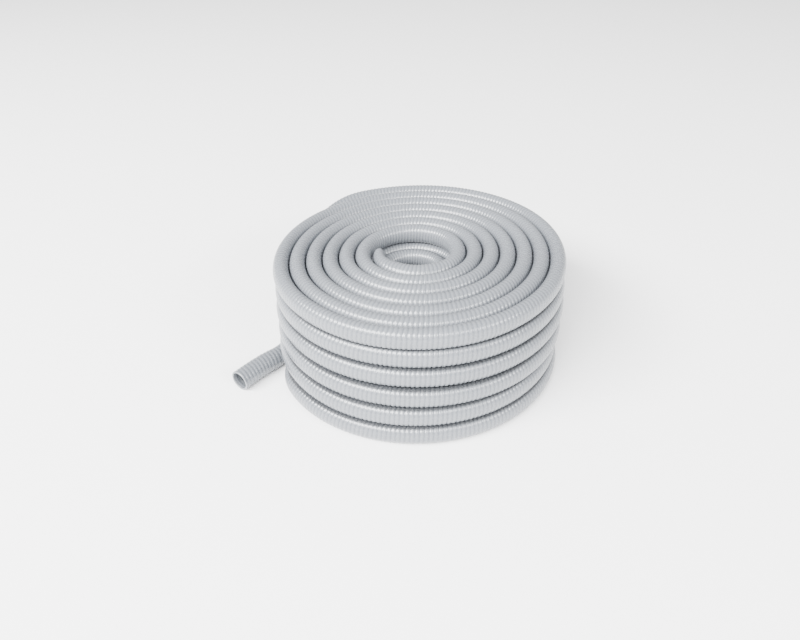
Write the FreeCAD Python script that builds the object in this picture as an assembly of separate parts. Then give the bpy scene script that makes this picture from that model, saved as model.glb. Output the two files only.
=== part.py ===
import FreeCAD, Part
import math
import os

# A long ribbed suction hose for a pool, wound in a coil that lies on its side.
# Units are millimetres. +Z is up and the coil rests on z = 0.
# Seen from above the turns run anticlockwise, and angles start at +X.

# The hose
hose_diameter = 45.0
hose_bore = 38.0
rib_pitch = 8.9
rib_depth = 1.2
rib_crest = 0.45

# The same hose pressed oval by the winding, and the play between its turns
turn_width = 32.8
turn_height = 41.6
turn_wall = 2.6
turn_gap = 0.7
level_gap = 1.3

# The coil: a flat spiral on top, and one outer turn on each level below it
levels = 6
top_turns = 6
inner_radius = 72.9
drop_angle = 128.0
drop_span = 90.0
drop_slack = 0.06
top_drop_angle = 138.5
top_drop_span = 41.0
level_lean = 3.6
level_flare = 1.2

# The inner end on top, straight for one diameter before the spiral takes over
inner_end_x = 62.0
inner_end_y = 8.4
inner_join_angle = 270.0

# The core: the turns hidden behind the outer ones, as one plain ring
core_seat = 0.3
core_play = 1.5

# The bottom turn makes room for the last drop and for the end that leaves it.
# The windows are in degrees from the drops at its two ends.
bulge = 27.0
bulge_rise = (-95.0, -25.0)
bulge_fall = (-5.0, 48.0)
tuck = 35.5
tuck_in = (12.0, 52.0)
tuck_out = (58.0, 79.0)

# The outer end on the floor: its bore stops short of where it meets the wound hose
exit_angle = 188.4
exit_offset = 18.3
exit_heading = 228.9
exit_length = 111.0
root_wall = 6.0

# Where the arcs of the path join: every quarter turn of the spiral, as shares of each drop's span,
# and in degrees after a drop's end, along the bottom turn and about its last drop
quarter_turn = 90
drop_joints = (-0.5, -0.3, -0.1, 0.1, 0.3, 0.5)
level_joints = (90, 180)
bottom_joints = (8, 14, 20, 26, 34, 90, 180, 215, 240)
last_joints = (-45, -22, 0, 14, 28, 42)
least_joint_step = 25

pitch = turn_width + turn_gap
level_pitch = turn_height + level_gap
squash = turn_width / turn_height
top_z = turn_height / 2 + (levels - 1) * level_pitch
last_drop = drop_angle + 360.0 * (top_turns + levels - 1)


def ease(start, end, angle):
    """Rise smoothly from 0 to 1 between two angles."""
    share = min(1.0, max(0.0, (angle - start) / (end - start)))
    return share * share * (3 - 2 * share)


def drop_window(number):
    """The angle at the middle of a drop and the angle it spans. The one off the top is later and shorter."""
    if number == 0:
        return top_drop_angle + 360.0 * (top_turns + 1), top_drop_span
    return drop_angle + 360.0 * (top_turns + 1 + number), drop_span


def drop_rolls(angle):
    """How far each drop has rolled round the turn inside it, as an angle from 0 to 90 degrees."""
    rolls = []
    for number in range(levels - 1):
        middle, span = drop_window(number)
        rolls.append(math.pi / 2 * ease(middle - span / 2, middle + span / 2, angle))
    return rolls


def room_made(angle):
    """Radial shift of the bottom turn, which swells round the last drop and tucks in at both its ends."""
    start = last_drop
    end = last_drop + 360
    swell = bulge * (ease(*bulge_rise, angle - end) - ease(*bulge_fall, angle - end))
    first_tuck = tuck * (ease(*tuck_in, angle - start) - ease(*tuck_out, angle - start))
    last_tuck = tuck * ease(*tuck_in, angle - end)
    return swell - first_tuck - last_tuck


def turn_point(angle):
    """A point of the wound hose's axis, from the angle wound so far."""
    rolls = drop_rolls(angle)
    level = sum(math.sin(roll) for roll in rolls)
    radius = inner_radius + pitch * (angle - 180) / 360
    for roll in rolls:
        slack = drop_slack * math.sin(2 * roll)
        radius -= pitch * (1 - (1 + slack) * math.cos(roll))
    radius += level_flare * level + room_made(angle)
    turn = math.radians(angle)
    return FreeCAD.Vector(
        radius * math.cos(turn),
        radius * math.sin(turn) - level_lean * level,
        top_z - level_pitch * level,
    )


def turn_direction(angle):
    """The way the wound hose's axis runs at an angle."""
    step = turn_point(angle + 0.05) - turn_point(angle - 0.05)
    return step.normalize()


def flattened(vector):
    """The same vector in the space where the oval hose is round."""
    return FreeCAD.Vector(vector.x, vector.y, vector.z * squash)


def arc_or_line(start, corner, end):
    """One arc from start to end whose tangents meet at corner, or a line where they don't turn."""
    middle = (start + end) * 0.5
    leg = (corner - start).Length
    lean_in = (end - start).Length / 2 / leg
    if lean_in > 1 - 1e-9:
        return Part.LineSegment(start, end), math.inf
    crown = middle + (corner - middle) * (lean_in / (1 + lean_in))
    radius = (end - start).Length / 2 / math.sqrt(1 - lean_in * lean_in)
    return Part.Arc(start, crown, end), radius


def biarc(start, start_way, end, end_way):
    """Two arcs that leave start along start_way and reach end along end_way."""
    chord = end - start
    both = chord.dot(start_way + end_way)
    turning = 2 * (1 - start_way.dot(end_way))
    if turning < 1e-12:
        leg = chord.dot(chord) / (2 * both)
    else:
        leg = (math.sqrt(both * both + turning * chord.dot(chord)) - both) / turning
    first_corner = start + start_way * leg
    second_corner = end - end_way * leg
    joint = (first_corner + second_corner) * 0.5
    return [arc_or_line(start, first_corner, joint), arc_or_line(joint, second_corner, end)]


def exit_way():
    """The way the outer end points, level with the floor."""
    heading = math.radians(exit_heading)
    return FreeCAD.Vector(math.cos(heading), math.sin(heading), 0)


def exit_start():
    """Where the outer end comes clear of the bottom turn, at the height of the wound hose's axis."""
    lowest = levels - 1
    turns_in = top_turns + (exit_angle - 180) / 360
    radius = inner_radius + pitch * turns_in + level_flare * lowest + exit_offset
    turn = math.radians(exit_angle)
    return FreeCAD.Vector(
        radius * math.cos(turn),
        radius * math.sin(turn) - level_lean * lowest,
        top_z - level_pitch * lowest,
    )


def stations():
    """Points and directions along the wound hose, from its inner end to its outer end."""
    down_y = FreeCAD.Vector(0, -1, 0)
    tip = FreeCAD.Vector(-inner_end_x, inner_end_y, top_z)
    places = [(tip, down_y), (tip + down_y * turn_width, down_y)]
    angles = [inner_join_angle]
    top_middle, top_span = drop_window(0)
    while angles[-1] + quarter_turn + least_joint_step < top_middle - top_span / 2:
        angles.append(angles[-1] + quarter_turn)
    for number in range(levels - 1):
        middle, span = drop_window(number)
        angles += [middle + share * span for share in drop_joints]
        if number < levels - 2:
            angles += [middle + span / 2 + further for further in level_joints]
    angles += [last_drop + drop_span / 2 + further for further in bottom_joints]
    angles += [last_drop + 360 + further for further in last_joints]
    places += [(turn_point(angle), turn_direction(angle)) for angle in angles]
    places.append((exit_start(), exit_way()))
    places.append((exit_start() + exit_way() * turn_width, exit_way()))
    return places


def winding_path():
    """Arcs and lines of the wound hose's axis in the flattened space, with their radii."""
    places = []
    for point, way in stations():
        places.append((flattened(point), flattened(way).normalize()))
    pieces = []
    for (start, start_way), (end, end_way) in zip(places, places[1:]):
        pieces += biarc(start, start_way, end, end_way)
    return pieces


def oval_from(shape):
    """Stretch a shape out of the flattened space to its real height."""
    stretch = FreeCAD.Matrix()
    stretch.scale(1, 1, 1 / squash)
    return shape.transformGeometry(stretch)


def least_gap(pieces):
    """The least gap of the wound tube to itself, from points along its axis in the flattened space."""
    points = []
    length = 0.0
    for curve, radius in pieces:
        edge = curve.toShape()
        count = max(2, int(edge.Length / 5) + 1)
        for step, point in enumerate(edge.discretize(count + 1)[:-1]):
            points.append((point, length + edge.Length * step / count))
        length += edge.Length
    cell = turn_width * 1.5
    cells = {}
    for point, place in points:
        key = tuple(math.floor(value / cell) for value in (point.x, point.y, point.z))
        cells.setdefault(key, []).append((point, place))
    nearest = math.inf
    nearest_at = None
    for (x, y, z), group in cells.items():
        around = []
        for dx in (-1, 0, 1):
            for dy in (-1, 0, 1):
                for dz in (-1, 0, 1):
                    around += cells.get((x + dx, y + dy, z + dz), [])
        for point, place in group:
            for other, other_place in around:
                if other_place - place > 4 * turn_width:
                    distance = (point - other).Length
                    if distance < nearest:
                        nearest = distance
                        nearest_at = point
    return nearest - turn_width, nearest_at, length


def make_winding():
    """One unbroken oval tube: the top spiral, the outer turn of each level, and a straight run out."""
    pieces = winding_path()
    path = Part.Wire([curve.toShape() for curve, radius in pieces])
    start, way = pieces[0][0].StartPoint, FreeCAD.Vector(0, -1, 0)
    section = Part.Wire(Part.Circle(start, way, turn_width / 2).toBSpline().toShape())
    tube = path.makePipeShell([section], True, False)
    expected = math.pi * (turn_width / 2) ** 2 * path.Length
    print("winding: volume against section times length", round(tube.Volume / expected, 5))
    print("winding: tightest radius", round(min(radius for curve, radius in pieces), 1))
    gap, place, length = least_gap(pieces)
    print("winding: least gap to itself", round(gap, 2), "near", place, "axis length", round(length))
    bore = Part.makeCylinder(turn_width / 2 - turn_wall, turn_width, start, way)
    return oval_from(tube.cut(bore))


def leaning_ring(top, bottom, outer, inner, outer_growth):
    """A ring between two heights that leans and flares with the levels."""
    circles = []
    for radius, growth in ((outer, outer_growth), (inner, 0.0)):
        for z in (bottom, top):
            level = (top_z - z) / level_pitch
            centre = FreeCAD.Vector(0, -level_lean * level, z)
            rim = Part.Circle(centre, FreeCAD.Vector(0, 0, 1), radius + growth * level)
            circles.append(Part.Wire(rim.toShape()))
    outside = Part.makeLoft(circles[:2], True, True)
    inside = Part.makeLoft(circles[2:], True, True)
    return outside.cut(inside)


def make_core():
    """The hidden turns: a plain ring under the top spiral, narrower on the bottom level."""
    drop_end = (drop_angle + drop_span / 2 - 180) / 360
    outer = inner_radius + pitch * (top_turns + drop_end) - turn_width / 2 - core_play
    inner = inner_radius - turn_width / 2
    top = (levels - 1) * level_pitch - core_seat
    step = level_pitch - level_gap / 2
    upper = leaning_ring(top, step, outer, inner, level_flare)
    lower = leaning_ring(step, 0.0, outer - tuck, inner, level_flare)
    return upper.fuse(lower)


def make_outer_end():
    """The free end on the floor: a straight ribbed tube with its bore, closed at its root."""
    length = exit_length - turn_width
    crest = hose_diameter / 2
    groove = crest - rib_depth
    ribs = int(length / rib_pitch)
    spare = (length - ribs * rib_pitch) / 2
    along_x = FreeCAD.Vector(1, 0, 0)
    rings = [(0.0, groove)]
    for rib in range(ribs):
        start = spare + rib * rib_pitch
        flank = rib_pitch * (1 - rib_crest) / 4
        rings += [(start + flank, groove), (start + 2 * flank, crest)]
        rings += [(start + rib_pitch - 2 * flank, crest), (start + rib_pitch - flank, groove)]
    rings.append((length, groove))
    wires = []
    for x, radius in rings:
        circle = Part.Circle(FreeCAD.Vector(x, 0, 0), along_x, radius)
        wires.append(Part.Wire(circle.toShape()))
    outside = Part.makeLoft(wires, True, True)
    bore = Part.makeCylinder(hose_bore / 2, length - root_wall, along_x * root_wall, along_x)
    tube = outside.cut(bore)
    place = exit_start() + exit_way() * turn_width
    tube.rotate(FreeCAD.Vector(0, 0, 0), FreeCAD.Vector(0, 0, 1), exit_heading)
    tube.translate(FreeCAD.Vector(place.x, place.y, hose_diameter / 2))
    print("outer end: ribs", ribs, "length", round(length, 2), "bore", round(length - root_wall, 2))
    return tube


nodes = {
    "outer_turns": make_winding(),
    "inner_turns": make_core(),
    "outer_end": make_outer_end(),
}

# The origin is the middle of the whole part's footprint
footprint = FreeCAD.BoundBox()
for shape in nodes.values():
    footprint.add(shape.optimalBoundingBox(False, False))
to_origin = FreeCAD.Vector(-footprint.Center.x, -footprint.Center.y, 0)
mouth = exit_start() + exit_way() * exit_length + to_origin
print("spiral's centre", round(to_origin.x, 2), round(to_origin.y, 2))
print("mouth", round(mouth.x, 2), round(mouth.y, 2), "size", footprint.XLength, footprint.YLength, footprint.ZLength)

os.makedirs("parts", exist_ok=True)
for name, shape in nodes.items():
    shape.translate(to_origin)
    print(name, "valid", shape.isValid(), "solids", len(shape.Solids), "volume", round(shape.Volume))
    shape.exportStep("parts/" + name + ".step")
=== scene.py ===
import bpy
import math
import numpy as np
from mathutils import Matrix, Vector


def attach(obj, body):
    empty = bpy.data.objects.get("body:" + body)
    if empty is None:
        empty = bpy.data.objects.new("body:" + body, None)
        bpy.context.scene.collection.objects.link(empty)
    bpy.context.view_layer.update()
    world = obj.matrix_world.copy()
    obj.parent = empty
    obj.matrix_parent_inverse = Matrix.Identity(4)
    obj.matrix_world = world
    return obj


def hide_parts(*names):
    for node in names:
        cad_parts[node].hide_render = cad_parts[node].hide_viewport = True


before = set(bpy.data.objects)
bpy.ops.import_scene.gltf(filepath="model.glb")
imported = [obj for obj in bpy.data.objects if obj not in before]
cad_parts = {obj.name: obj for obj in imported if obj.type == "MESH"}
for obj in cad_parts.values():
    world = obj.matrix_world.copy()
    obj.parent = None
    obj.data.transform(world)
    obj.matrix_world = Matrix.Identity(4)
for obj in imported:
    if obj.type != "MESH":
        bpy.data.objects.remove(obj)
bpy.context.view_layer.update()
print("frame loaded")

# camera at the photograph's viewing angle: its place in metres, its angles in degrees
view = {
    "place": (0.03585, -1.18718, 0.90775),
    "pitchDown": 35.199,
    "yaw": -1.637,
    "roll": -1.473,
    "focalPixels": 654.1,
    "imageWidth": 800,
    "sensorWidth": 36.0,
    "clipEnd": 60,
}


def makeCamera():
    # yaw and pitch give the line of sight, and the roll turns right and up about it
    pitch, yaw, roll = (math.radians(view[key]) for key in ("pitchDown", "yaw", "roll"))
    forward = Vector((math.sin(yaw) * math.cos(pitch), math.cos(yaw) * math.cos(pitch),
                      -math.sin(pitch)))
    right = forward.cross(Vector((0, 0, 1))).normalized()
    up = right.cross(forward)
    rolledRight = math.cos(roll) * right + math.sin(roll) * up
    rolledUp = math.cos(roll) * up - math.sin(roll) * right
    data = bpy.data.cameras.new("photoCamera")
    data.sensor_fit = "HORIZONTAL"
    data.sensor_width = view["sensorWidth"]
    data.lens = view["focalPixels"] / view["imageWidth"] * view["sensorWidth"]
    data.clip_end = view["clipEnd"]
    camera = bpy.data.objects.new("photoCamera", data)
    camera.matrix_world = Matrix.Translation(view["place"]) @ Matrix(
        (rolledRight, rolledUp, -forward)).transposed().to_4x4()
    bpy.context.collection.objects.link(camera)
    bpy.context.scene.camera = camera


makeCamera()
print("camera placed")

# the coil in metres and degrees, its angles anticlockwise from +X seen from above
coil = {
    "centre": (0.03585, -0.00292),
    "pitch": 0.0335,  # from turn to turn
    "levelPitch": 0.0429,  # from level to level
    "levels": 6,
    "topHeight": 0.2353,  # of the top level's axis
    "innerAngle": 180,  # where the spiral has its inner radius
    "innerRadius": 0.0729,
    "fullTopTurns": 6,
    "topDrop": (138.5, 41.0),  # middle and span of the drop from the top level
    "drop": (128.0, 90.0),  # and of each lower one
    "dropSlack": 0.06,
    # no level lies quite true: the shift and the growth of each, from the top down
    "levelShiftX": (0.0, 0.001, 0.001, 0.0, -0.004, -0.006),
    "levelShiftY": (0.0, -0.0003, 0.0, -0.008, -0.0145, -0.0105),
    "levelGrowth": (0.0, 0.0012, 0.0044, 0.0025, 0.0, 0.0075),
    # the bottom turn's bulge and its tucks, between angles counted from the last drop
    "bulge": 0.027,
    "bulgeRise": (265, 335),
    "bulgeFall": (355, 408),
    "tuck": 0.0355,
    "tuckIn": (12, 52),
    "tuckOut": (57.5, 78.5),
    "endTuckIn": (372, 412),
}

# where the coil stands out a little, behind on the right and in front: the angles at which a swell
# starts, is full, begins to end and is over, the radii between which it grows, and the number of
# levels, from the top, over which it fades
swells = (
    {"out": 0.013, "angles": (-20, 45, 60, 135), "radii": (0.05, 0.33), "levels": 3},
    {"out": 0.0053, "angles": (225, 262, 275, 325), "radii": (0.15, 0.24), "levels": 1},
)

# the hose: half width and half height, pressed oval in the coil and round where it lies free
hose = {
    "pressed": (0.0164, 0.0208),
    "free": (0.0225, 0.0225),
    "ribPitch": 0.0089,
    "ribBend": 0.0145,  # how much a bend crowds the ribs, in metres
    "ribDepth": 0.0012,
    "ribShape": (0.0, 0.82, 1.0, 0.82),  # one rib's heights from groove to groove
    "wall": 0.0035,
    "boreDepth": 0.12,
    "boreRelief": 0.5,  # the ribs' print in the bore, as a share of their depth
    "boreShade": (0.0, 0.03),  # depths between which painted shade darkens the bore
    "stepsPerTurn": 36,
    "linePoints": 4,
}

# painted shade along the lines where turns press on each other: the angles are counted from the
# spiral's start on the inner side, and from the first drop on the other two
contactShade = {
    "insideStarts": (540, 560),
    "aboveStarts": (-30, 30),
    "outsideEnds": (-360, -300),
    "side": 0.08,  # how dark the painted shade of a contact beside the hose is, to 1 above and below it
    "fades": (0.8, 0.92),  # cosines of the angle from a contact between which the painted shade darkens
}

# the innermost turn: narrow at its tip, then fuller than the rest, because nothing presses on its
# inner side
innerEnd = {
    "startAngle": 181.6,
    "tipHalf": (0.0122, 0.0200),
    "fullHalf": (0.0190, 0.0213),
    "tipGap": 0.0042,
    "closes": (182, 222),
    "swells": (182, 245),
    "narrows": (290, 335),
    "lift": 0.5,
}


def ease(start, end, value):
    # rises smoothly from 0 to 1 between two values: share squared times three less two shares
    share = np.clip((value - start) / (end - start), 0, 1)
    return share * share * (3 - 2 * share)


def dropMiddle(number):
    # the angle at the middle of a drop, counted on from the spiral's start; the top one is number 0
    middle = coil["drop"][0] if number else coil["topDrop"][0]
    return middle + 360 * (coil["fullTopTurns"] + 1 + number)


lastDrop = dropMiddle(coil["levels"] - 2)


def turnHalves(angle):
    # pressed half sizes, plus what the innermost turn has more of, less what its tip lacks
    pressed, full, tip = (np.array(half) for half in (hose["pressed"], innerEnd["fullHalf"],
                                                      innerEnd["tipHalf"]))
    fuller = 1 - ease(*innerEnd["narrows"], angle)[:, None]
    thinner = 1 - ease(*innerEnd["swells"], angle)[:, None]
    return pressed + (full - pressed) * fuller - (full - tip) * thinner


def spiralRadius(angle):
    # the inner radius, plus one pitch for each turn from the inner angle
    return coil["innerRadius"] + coil["pitch"] * (angle - coil["innerAngle"]) / 360


def levelPlace(level, radius, angle):
    # a point from its height in levels, its radius and its angle: the cosine and the sine of the
    # angle times the radius, with the level's growth and shift
    count = np.arange(coil["levels"])
    shiftX, shiftY, growth = (np.interp(level, count, coil[key])
                              for key in ("levelShiftX", "levelShiftY", "levelGrowth"))
    turn = np.radians(angle)
    return np.stack([coil["centre"][0] + shiftX + (radius + growth) * np.cos(turn),
                     coil["centre"][1] + shiftY + (radius + growth) * np.sin(turn),
                     coil["topHeight"] - coil["levelPitch"] * level], axis=1)


def swelling(level, radius, angle):
    # each swell's greatest width, times a smooth hump over the angle, times a smooth rise with the
    # radius, times a straight fall with the level
    total = np.zeros_like(radius)
    for swell in swells:
        starts, full, ends, over = swell["angles"]
        round360 = (angle - starts) % 360 + starts
        hump = ease(starts, full, round360) - ease(ends, over, round360)
        fall = np.clip(1 - level / swell["levels"], 0, 1)
        total += swell["out"] * hump * ease(*swell["radii"], radius) * fall
    return total


def turnContactShade(angle):
    # how dark the painted shade along the contacts on the hose's outer, upper, inner and lower
    # sides is, from 0 to 1 each
    sinceFirstDrop = angle - dropMiddle(0)
    outside = 1 - ease(*contactShade["outsideEnds"], sinceFirstDrop)
    above = ease(*contactShade["aboveStarts"], sinceFirstDrop)
    inside = ease(*contactShade["insideStarts"], angle)
    return np.stack([contactShade["side"] * outside, above, contactShade["side"] * inside,
                     np.ones_like(angle)], axis=1)


def turnPoints(angle):
    # the wound hose's axis: a flat spiral that rolls down round its inner neighbour at each drop
    radius = spiralRadius(angle)
    level = np.zeros_like(angle)
    for number in range(coil["levels"] - 1):
        middle, span = dropMiddle(number), (coil["drop"] if number else coil["topDrop"])[1]
        roll = math.pi / 2 * ease(middle - span / 2, middle + span / 2, angle)
        level += np.sin(roll)
        radius -= coil["pitch"] * (1 - (1 + coil["dropSlack"] * np.sin(2 * roll)) * np.cos(roll))
    # the bottom turn swells round the last drop and tucks in under the loose end
    since = angle - lastDrop
    radius += coil["bulge"] * (ease(*coil["bulgeRise"], since) - ease(*coil["bulgeFall"], since))
    radius -= coil["tuck"] * (ease(*coil["tuckIn"], since) - ease(*coil["tuckOut"], since))
    radius -= coil["tuck"] * ease(*coil["endTuckIn"], since)
    # the innermost turn keeps its outer side on the next one, but for a gap at its tip
    fuller = turnHalves(angle) - np.array(hose["pressed"])
    radius -= fuller[:, 0] + innerEnd["tipGap"] * (1 - ease(*innerEnd["closes"], angle))
    points = levelPlace(level, radius + swelling(level, radius, angle), angle)
    points[:, 2] += innerEnd["lift"] * fuller[:, 1]
    return points


def turnControls(start, end, pointsAt):
    # control points of a smooth line round the coil: both ends on it, and between them one for each
    # step, halfway along the step and farther out by one over the cosine of half a step, where the
    # tangents meet
    count = max(2, round((end - start) / (360 / hose["stepsPerTurn"])))
    step = (end - start) / count
    points = pointsAt(start + step * (np.arange(count) + 0.5))
    middle = np.array([*coil["centre"], 0.0])
    grow = 1 / math.cos(math.radians(step) / 2)
    outside = middle + (points - middle) * np.array([grow, grow, 1.0])
    return np.concatenate([pointsAt(np.array([float(start)])), outside,
                           pointsAt(np.array([float(end)]))])


def smoothLine(name, controls):
    # the points of a smooth NURBS line that has the route's points as its control points
    curve = bpy.data.curves.new(name + "Route", "CURVE")
    curve.dimensions = "3D"
    curve.resolution_u = hose["linePoints"]
    spline = curve.splines.new("NURBS")
    spline.points.add(len(controls) - 1)
    spline.points.foreach_set("co", np.c_[controls, np.ones(len(controls))].ravel())
    spline.use_endpoint_u = True
    spline.order_u = 3
    route = bpy.data.objects.new(name + "Route", curve)
    mesh = bpy.data.meshes.new_from_object(route)
    line = np.empty(len(mesh.vertices) * 3)
    mesh.vertices.foreach_get("co", line)
    bpy.data.objects.remove(route)
    bpy.data.curves.remove(curve)
    bpy.data.meshes.remove(mesh)
    return line.reshape(-1, 3)


def lengthAlong(line):
    # the length of the line up to each of its points
    return np.concatenate([[0.0], np.cumsum(np.linalg.norm(np.diff(line, axis=0), axis=1))])


def unit(vectors):
    # each vector over its own length
    return vectors / np.linalg.norm(vectors, axis=1)[:, None]


def meshFromArrays(name, points, triangles, smooth, values):
    mesh = bpy.data.meshes.new(name)
    mesh.vertices.add(len(points))
    mesh.vertices.foreach_set("co", points.astype(np.float32).ravel())
    mesh.loops.add(triangles.size)
    mesh.loops.foreach_set("vertex_index", triangles.astype(np.int32).ravel())
    mesh.polygons.add(len(triangles))
    mesh.polygons.foreach_set("loop_start", np.arange(0, triangles.size, 3, dtype=np.int32))
    mesh.polygons.foreach_set("use_smooth", smooth)
    for label, value in values.items():
        attribute = mesh.attributes.new(label, "FLOAT", "POINT")
        attribute.data.foreach_set("value", value.astype(np.float32))
    mesh.update(calc_edges=True)
    mesh.validate()
    piece = bpy.data.objects.new(name, mesh)
    bpy.context.collection.objects.link(piece)
    return piece


def ribbedTube(name, line, halves, contactShading, around, openStart=False, openEnd=False):
    # a tube whose rows follow the rib's helix: row i at column j lies i/rows + j/around ribs along
    # the line. A point stands off the line by half width times cosine sideways and half height
    # times sine upwards, both less the rib's depth in the grooves.
    rows = len(hose["ribShape"])
    length = lengthAlong(line)
    tangent = unit(np.gradient(line, length, axis=0))
    side = unit(np.cross(tangent, [0, 0, 1]))
    up = np.cross(side, tangent)
    # ribs crowd together on the inner side of a bend, so their spacing at the axis falls with it
    bend = np.linalg.norm(np.gradient(tangent, length, axis=0), axis=1)
    spacing = hose["ribPitch"] / (1 + hose["ribBend"] * bend)
    ribsAt = np.concatenate([[0], np.cumsum(np.diff(length) / (spacing[1:] + spacing[:-1]) * 2)])
    ribs = max(rows, round(ribsAt[-1]))
    ribsAt *= ribs / ribsAt[-1]

    def section(at, angle, inset):
        # points of the tube's oval at these lengths and angles, inset from its outside
        middle, out, rise = (
            np.stack([np.interp(at, length, part[:, k]) for k in range(3)], axis=-1)
            for part in (line, side, up))
        wide, high = (np.interp(at, length, halves[:, k]) - inset for k in range(2))
        return (middle + out * (wide * np.cos(angle))[..., None]
                + rise * (high * np.sin(angle))[..., None])

    columns = np.arange(around)
    turn = 2 * math.pi * columns / around
    row, column = np.meshgrid(np.arange(rows * (ribs + 2) + 2), columns, indexing="ij")
    phase = np.clip(row / rows + column / around - 1, 0, ribs)
    shape = hose["ribShape"] + (hose["ribShape"][0],)
    ribHeight = np.interp((phase - column / around) % 1, np.linspace(0, 1, rows + 1), shape)
    along = np.interp(phase, ribsAt, length)
    points = section(along, turn[column], hose["ribDepth"] * (1 - ribHeight))
    # the painted shade at a point: the strongest of its four sides, each fading with the cosine of
    # the angle from it
    paintedShade = np.max([np.interp(along, length, contactShading[:, k])
                    * ease(*contactShade["fades"], np.cos(turn - k * math.pi / 2))[column]
                    for k in range(4)], axis=0)
    points, ribHeight, paintedShade = [points.reshape(-1, 3)], [ribHeight.ravel()], [paintedShade.ravel()]
    # the first and last whole row of each column; tiny keeps a row that falls just on an end
    tiny = 1e-9
    firstRow = np.floor(rows - rows * columns / around + tiny).astype(int)
    lastRow = np.ceil(rows * (ribs + 1) - rows * columns / around - tiny).astype(int)

    def vertex(row, column):
        return np.clip(row, firstRow[column], lastRow[column]) * around + column

    row, column = np.meshgrid(np.arange(rows * (ribs + 1) + 1), columns, indexing="ij")
    nextRow = row + np.where(column == around - 1, rows, 0)
    nextColumn = (column + 1) % around
    a, b = vertex(row, column), vertex(nextRow, nextColumn)
    c, d = vertex(nextRow + 1, nextColumn), vertex(row + 1, column)
    faces = [np.stack(corners, axis=-1).reshape(-1, 3) for corners in ((a, b, c), (a, c, d))]
    smooth = [np.ones(2 * a.size, bool)]
    count = len(points[0])
    for isOpen, endRow, end, inwards in ((openStart, firstRow, 0.0, 1),
                                         (openEnd, lastRow, length[-1], -1)):
        ring = vertex(endRow, columns)
        depth = 0.0
        if isOpen:
            # the flat rim, then the bore's rings, which carry the ribs' shallow print and a painted
            # shade that deepens with depth
            step = spacing[0] / rows
            for number in range(int(hose["boreDepth"] / step)):
                depth = number * step
                height = hose["ribShape"][number % rows] if number else 1.0
                inset = hose["wall"] + hose["boreRelief"] * hose["ribDepth"] * (1 - height)
                points.append(section(np.full(around, end + inwards * depth), turn, inset))
                ribHeight.append(np.full(around, height))
                paintedShade.append(np.full(around, ease(*hose["boreShade"], depth)))
                inner = count + columns
                count += around
                quad = np.stack([ring, np.roll(ring, -1), np.roll(inner, -1), inner], axis=-1)
                quad = quad[:, ::-inwards]
                faces.append(np.concatenate([quad[:, [0, 1, 2]], quad[:, [0, 2, 3]]]))
                smooth.append(np.full(2 * around, number > 0))
                ring = inner
        # the end closes on a point on the line, in full painted shade
        hub = [np.interp(end + inwards * depth, length, line[:, k]) for k in range(3)]
        points.append(np.array([hub]))
        ribHeight.append(np.array([0.5]))
        paintedShade.append(np.array([1.0]))
        fan = np.stack([ring, np.roll(ring, -1), np.full(around, count)], axis=-1)
        faces.append(fan[:, ::-inwards])
        smooth.append(np.zeros(around, bool))
        count += 1
    faces, smooth = np.concatenate(faces), np.concatenate(smooth)
    # where a row is cut off by an end, its faces have no area and go
    whole = (faces != np.roll(faces, 1, axis=1)).all(axis=1)
    used, compact = np.unique(faces[whole], return_inverse=True)
    values = {"ribHeight": np.concatenate(ribHeight)[used], "paintedShade": np.concatenate(paintedShade)[used]}
    piece = meshFromArrays(name, np.concatenate(points)[used], compact.reshape(-1, 3),
                           smooth[whole], values)
    print(name, "ribs", ribs, "length", round(length[-1], 3), "triangles", int(whole.sum()))
    return piece


# the finish: how painted shade in the rib grooves and along the contacts, broad drifts and fine
# specks change colour, gloss and relief. A pattern's values within its range are spread over its
# spread.
finish = {
    "crest": (0.15, 0.95),  # rib heights between which the painted groove shade turns to the crest's colour
    "drift": {"scale": 9, "detail": 3, "range": (0.3, 0.7), "spread": (0.93, 1.0)},
    "specks": {"scale": 420, "detail": 5, "range": (0.52, 0.72), "spread": (0, 1)},
    "speckRoughness": 0.12,
}
finishInputs = {
    "Crest Color": "NodeSocketColor",
    "Groove Shade Color": "NodeSocketColor",
    "Dust Color": "NodeSocketColor",
    "Dust": "NodeSocketFloat",
    "Contact Shade Tone": "NodeSocketFloat",
    "Roughness": "NodeSocketFloat",
}
finishOutputs = {
    "Color": "NodeSocketColor",
    "Roughness": "NodeSocketFloat",
    "Height": "NodeSocketFloat",
}


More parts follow.
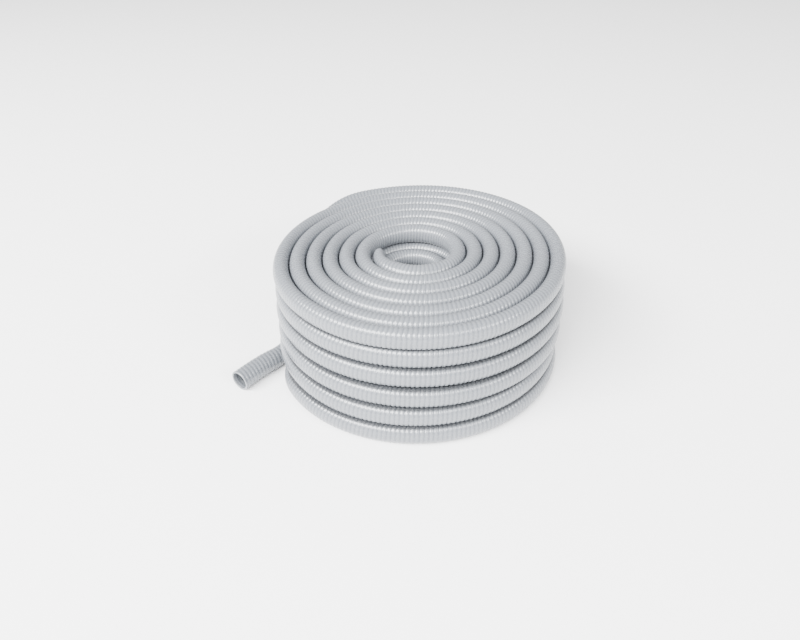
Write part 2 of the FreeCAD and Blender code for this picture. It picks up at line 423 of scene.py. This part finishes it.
def buildHoseFinish():
    group = bpy.data.node_groups.new("hoseFinish", "ShaderNodeTree")
    for direction, sockets in (("INPUT", finishInputs), ("OUTPUT", finishOutputs)):
        for label, kind in sockets.items():
            group.interface.new_socket(label, in_out=direction, socket_type=kind)
    nodes, links = group.nodes, group.links
    given, result = nodes.new("NodeGroupInput"), nodes.new("NodeGroupOutput")
    place = nodes.new("ShaderNodeTexCoord")

    def noise(own):
        # a noise pattern, and a mask of its values in the range
        pattern, mask = nodes.new("ShaderNodeTexNoise"), nodes.new("ShaderNodeMapRange")
        pattern.inputs["Scale"].default_value = own["scale"]
        pattern.inputs["Detail"].default_value = own["detail"]
        mask.inputs["From Min"].default_value, mask.inputs["From Max"].default_value = own["range"]
        mask.inputs["To Min"].default_value, mask.inputs["To Max"].default_value = own["spread"]
        links.new(place.outputs["Object"], pattern.inputs["Vector"])
        links.new(pattern.outputs["Fac"], mask.inputs["Value"])
        return pattern.outputs["Fac"], mask.outputs["Result"]

    def blend(kind, factor, first, second):
        mix = nodes.new("ShaderNodeMix")
        mix.data_type = "RGBA"
        mix.blend_type = kind
        if factor is None:
            mix.inputs["Factor"].default_value = 1
        else:
            links.new(factor, mix.inputs["Factor"])
        links.new(first, mix.inputs["A"])
        links.new(second, mix.inputs["B"])
        return mix.outputs["Result"]

    # painted shade: darker grooves between the lighter crests of the ribs
    rib, crest = nodes.new("ShaderNodeAttribute"), nodes.new("ShaderNodeMapRange")
    rib.attribute_name = "ribHeight"
    crest.inputs["From Min"].default_value, crest.inputs["From Max"].default_value = finish["crest"]
    links.new(rib.outputs["Fac"], crest.inputs["Value"])
    tone = blend("MIX", crest.outputs["Result"], given.outputs["Groove Shade Color"],
                 given.outputs["Crest Color"])
    # painted shade: darker lines where turns press on each other, which lead the colour from 1 to
    # the tone given for that shade
    pressed, shade = nodes.new("ShaderNodeAttribute"), nodes.new("ShaderNodeMix")
    pressed.attribute_name = "paintedShade"
    shade.data_type = "FLOAT"
    shade.inputs["A"].default_value = 1
    links.new(pressed.outputs["Fac"], shade.inputs["Factor"])
    links.new(given.outputs["Contact Shade Tone"], shade.inputs["B"])
    tone = blend("MULTIPLY", None, tone, shade.outputs["Result"])
    # broad drifts of tone along the wound hose
    tone = blend("MULTIPLY", None, tone, noise(finish["drift"])[1])
    # fine dust and scuffs, a little lighter and rougher
    speck, speckMask = noise(finish["specks"])
    dustShare = nodes.new("ShaderNodeMath")
    dustShare.operation = "MULTIPLY"
    links.new(speckMask, dustShare.inputs[0])
    links.new(given.outputs["Dust"], dustShare.inputs[1])
    tone = blend("MIX", dustShare.outputs["Value"], tone, given.outputs["Dust Color"])
    rough = nodes.new("ShaderNodeMath")
    rough.operation = "MULTIPLY_ADD"
    rough.inputs[1].default_value = finish["speckRoughness"]
    links.new(speckMask, rough.inputs[0])
    links.new(given.outputs["Roughness"], rough.inputs[2])
    links.new(tone, result.inputs["Color"])
    links.new(rough.outputs["Value"], result.inputs["Roughness"])
    links.new(speck, result.inputs["Height"])
    return group


hoseFinish = buildHoseFinish()

greyPlastic = {
    "Crest Color": (0.150, 0.160, 0.175, 1),
    # the grooves' colour is darker to paint shade in them
    "Groove Shade Color": (0.099, 0.109, 0.124, 1),
    "Dust Color": (0.23, 0.23, 0.235, 1),
    "Dust": 0.25,
    # the tone of the painted shade along the contacts
    "Contact Shade Tone": 0.27,
    "Roughness": 0.27,
    "specular": 0.42,
    "coat": 0.4,
    "coatRoughness": 0.21,
    "relief": 0.15,
    "reliefHeight": 0.0003,
}


def makePlastic(name, own):
    material = bpy.data.materials.new(name)
    material.use_nodes = True
    nodes, links = material.node_tree.nodes, material.node_tree.links
    shader = nodes["Principled BSDF"]
    shader.inputs["Specular IOR Level"].default_value = own["specular"]
    shader.inputs["Coat Weight"].default_value = own["coat"]
    shader.inputs["Coat Roughness"].default_value = own["coatRoughness"]
    shared = nodes.new("ShaderNodeGroup")
    shared.node_tree = hoseFinish
    for label in finishInputs:
        shared.inputs[label].default_value = own[label]
    relief = nodes.new("ShaderNodeBump")
    relief.inputs["Strength"].default_value = own["relief"]
    relief.inputs["Distance"].default_value = own["reliefHeight"]
    links.new(shared.outputs["Color"], shader.inputs["Base Color"])
    links.new(shared.outputs["Roughness"], shader.inputs["Roughness"])
    links.new(shared.outputs["Height"], relief.inputs["Height"])
    links.new(relief.outputs["Normal"], shader.inputs["Normal"])
    return material


hosePlastic = makePlastic("hosePlastic", greyPlastic)
print("materials made")

# the hose that shows: the angles where its wound stretches meet
shown = {
    "around": 38,
    "joints": (1890, 2625, 3640),
}

# the loose end on the floor: its wound angles, counted from the last drop, and then the points that
# its line follows, the last one its mouth
looseEnd = {
    "startTurn": 345,
    "lastTurn": 411,
    "points": ((-0.2480, -0.0500, 0.0218), (-0.3000, -0.1008, 0.0229), (-0.3329, -0.1482, 0.0225)),
    "narrows": (0.078, 0.155),  # lengths from the mouth between which it goes from round to oval
    "leaves": (0.12, 0.19),  # and between which the painted shade of the contacts on its sides begins
    # the sides that get painted contact shade: outer, upper, inner and lower
    "contactShading": (0, 1, 1, 1),
}


def placeStretch(name, line, halves, contactShading, around, replaced,
                 openStart=False, openEnd=False):
    piece = ribbedTube(name, line, halves, contactShading, around, openStart, openEnd)
    piece.data.materials.append(hosePlastic)
    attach(piece, "root")
    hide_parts(*replaced)
    long = float(lengthAlong(line)[-1])
    return long


def placeHose():
    # from the inner end on top to the loose end on the floor, in stretches that meet end to end
    joints = [innerEnd["startAngle"], *shown["joints"], lastDrop + looseEnd["startTurn"]]
    names = ("topTurnsInner", "topTurnsOuter", "wallTurnsUpper", "wallTurnsLower")
    total = 0.0
    for name, start, end in zip(names, joints[:-1], joints[1:]):
        first = name == names[0]
        line = smoothLine(name, turnControls(start, end, turnPoints))
        angle = np.linspace(start, end, len(line))
        total += placeStretch(name, line, turnHalves(angle), turnContactShade(angle), shown["around"],
                              ["outer_turns"],
                              openStart=first)
    wound = turnControls(lastDrop + looseEnd["startTurn"], lastDrop + looseEnd["lastTurn"],
                         turnPoints)[:-1]
    line = smoothLine("looseEnd", np.concatenate([wound, looseEnd["points"]]))
    fromMouth = lengthAlong(line)[-1] - lengthAlong(line)
    pressed, free = np.array(hose["pressed"]), np.array(hose["free"])
    halves = free + (pressed - free) * ease(*looseEnd["narrows"], fromMouth)[:, None]
    contactShading = np.array(looseEnd["contactShading"]) * ease(*looseEnd["leaves"], fromMouth)[:, None]
    total += placeStretch("looseEnd", line, halves, contactShading, shown["around"],
                          ["outer_turns", "outer_end"], openEnd=True)
    return total


shownLength = placeHose()
print("outer hose placed", round(shownLength, 2), "m")

# the turns inside: one flat spiral on each lower level, within the outer turn. It starts a turn
# farther in than the top spiral does, as the hole shows on the second level, and ends a turn
# earlier on the bottom level.
hidden = {
    "startAngle": -160,
    "endAngle": 2210,
    "bottomEndAngle": 1850,
    "around": 20,
    # painted shade along the hidden turns' contacts
    "paintedShade": 0.25,
}


def placeHidden():
    total = 0.0
    bottom = coil["levels"] - 1
    for level in range(1, bottom + 1):
        def levelPoints(angle):
            # a flat spiral of the coil's pitch on this level
            return levelPlace(np.full(len(angle), float(level)), spiralRadius(angle), angle)

        end = hidden["bottomEndAngle"] if level == bottom else hidden["endAngle"]
        name = f"hiddenTurns{level}"
        line = smoothLine(name, turnControls(hidden["startAngle"], end, levelPoints))
        halves = np.tile(hose["pressed"], (len(line), 1))
        contactShading = np.full((len(line), 4), hidden["paintedShade"])
        total += placeStretch(name, line, halves, contactShading, hidden["around"], ["inner_turns"])
    return total


hiddenLength = placeHidden()
print("hidden turns placed", round(hiddenLength, 2), "m")
print("hose in all", round(shownLength + hiddenLength, 2), "m")

# pale floor and soft studio light
studio = {
    "floorHalf": 9.0,
    "floorColor": (0.95, 0.95, 0.95, 1),
    "floorRoughness": 0.9,
    "skyColor": (1.0, 1.0, 1.0, 1),
    "skyStrength": 1.3,
    "lampAim": (0.03, 0.0, 0.1),
    "lamps": {
        "key": {"place": (-3.6, -4.0, 4.75), "size": (7.5, 2.3), "watts": 3400},
        "fill": {"place": (3.5, -3.5, 3.1), "size": (3.0, 1.0), "watts": 420},
    },
}


def makeStudio():
    half = studio["floorHalf"]
    corners = [(-half, -half, 0), (half, -half, 0), (half, half, 0), (-half, half, 0)]
    mesh = bpy.data.meshes.new("floor")
    mesh.from_pydata(corners, [], [(0, 1, 2, 3)])
    floor = bpy.data.objects.new("floor", mesh)
    bpy.context.collection.objects.link(floor)
    material = bpy.data.materials.new("paleFloor")
    material.use_nodes = True
    shader = material.node_tree.nodes["Principled BSDF"]
    shader.inputs["Base Color"].default_value = studio["floorColor"]
    shader.inputs["Roughness"].default_value = studio["floorRoughness"]
    mesh.materials.append(material)
    world = bpy.data.worlds.new("studioSky")
    world.use_nodes = True
    sky = world.node_tree.nodes["Background"]
    sky.inputs["Color"].default_value = studio["skyColor"]
    sky.inputs["Strength"].default_value = studio["skyStrength"]
    bpy.context.scene.world = world
    for name, lamp in studio["lamps"].items():
        data = bpy.data.lights.new(name, "AREA")
        data.shape = "RECTANGLE"
        data.size, data.size_y = lamp["size"]
        data.energy = lamp["watts"]
        light = bpy.data.objects.new(name, data)
        light.location = lamp["place"]
        aim = Vector(studio["lampAim"]) - Vector(lamp["place"])
        light.rotation_euler = aim.to_track_quat("-Z", "Y").to_euler()
        bpy.context.collection.objects.link(light)


makeStudio()
print("studio made")
